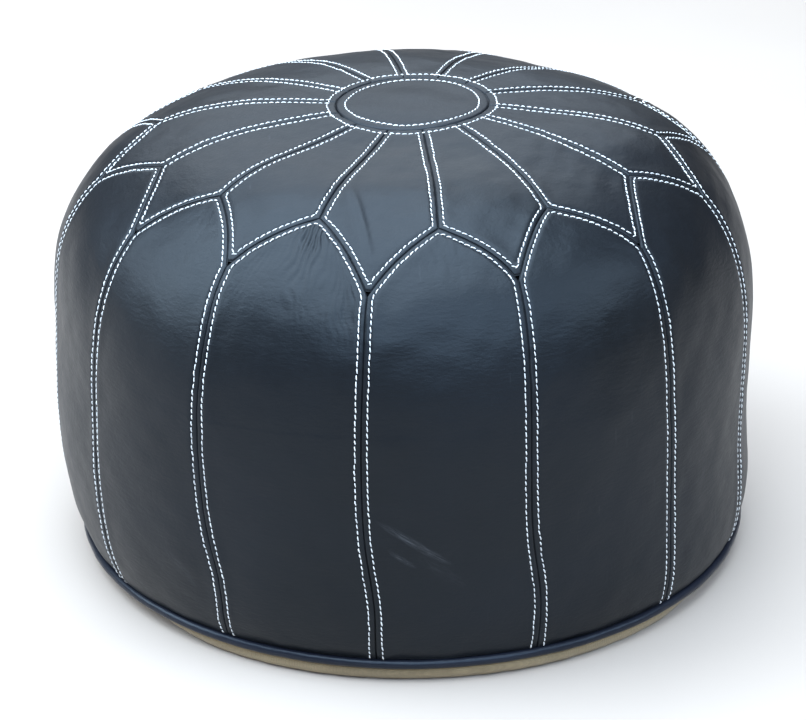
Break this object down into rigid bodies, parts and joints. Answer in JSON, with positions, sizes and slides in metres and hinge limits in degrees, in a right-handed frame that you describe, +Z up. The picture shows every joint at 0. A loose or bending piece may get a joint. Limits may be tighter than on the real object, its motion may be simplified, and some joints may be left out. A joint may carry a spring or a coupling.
{
  "type": "moroccan leather pouf",
  "caption": "Round stuffed floor pouf of sewn dark leather panels with pale double stitching, piping round the hem and a zipped fabric base.",
  "frame": {"origin": "on the floor, under the middle of the pouf", "axes": "+Z up; -Y is where a radial seam of the top meets the front; the zip runs along X"},
  "size_m": [0.536, 0.54, 0.348],
  "materials": {
    "navy_leather": "semi-matte, fine pebbled grain",
    "piping_leather": "smooth, slight shine",
    "cotton_cord": "twisted off-white cotton cord and thread",
    "base_canvas": "matt woven canvas",
    "lining_cotton": "matt cotton",
    "scrap_filling": "packed textile scraps",
    "zip_tape": "woven tape",
    "zip_brass": "worn satin"
  },
  "bodies": {
    "pouf": {"top_disc": "navy_leather", "petal_01": "navy_leather", "petal_02": "navy_leather", "petal_03": "navy_leather", "petal_04": "navy_leather", "petal_05": "navy_leather", "petal_06": "navy_leather", "petal_07": "navy_leather", "petal_08": "navy_leather", "petal_09": "navy_leather", "petal_10": "navy_leather", "petal_11": "navy_leather", "petal_12": "navy_leather", "petal_13": "navy_leather", "petal_14": "navy_leather", "side_panel_01": "navy_leather", "side_panel_02": "navy_leather", "side_panel_03": "navy_leather", "side_panel_04": "navy_leather", "side_panel_05": "navy_leather", "side_panel_06": "navy_leather", "side_panel_07": "navy_leather", "side_panel_08": "navy_leather", "side_panel_09": "navy_leather", "side_panel_10": "navy_leather", "side_panel_11": "navy_leather", "side_panel_12": "navy_leather", "side_panel_13": "navy_leather", "side_panel_14": "navy_leather", "piping_cover": "piping_leather", "piping_cord": "cotton_cord", "base_front": "base_canvas", "base_back": "base_canvas", "lining_bag": "lining_cotton", "filling": "scrap_filling", "zip_tape_front": "zip_tape", "zip_tape_back": "zip_tape", "zip_teeth_front": "zip_brass", "zip_teeth_back": "zip_brass", "zip_stop_front": "zip_brass", "zip_stop_back": "zip_brass", "zip_stop_end": "zip_brass"},
    "zip_slider": {"zip_slider": "zip_brass"},
    "pull_tab": {"zip_pull_tab": "zip_brass"}
  },
  "joints": [
    {"name": "zip_slide", "type": "slide", "parent": "pouf", "child": "zip_slider", "axis": [1, 0, 0], "range_m": [0, 0.285]},
    {"name": "pull_tab_swing", "type": "hinge", "parent": "zip_slider", "child": "pull_tab", "pos_m": [-0.144, 0, 0.0057], "axis": [0, 1, 0], "range_deg": [0, 180]}
  ]
}
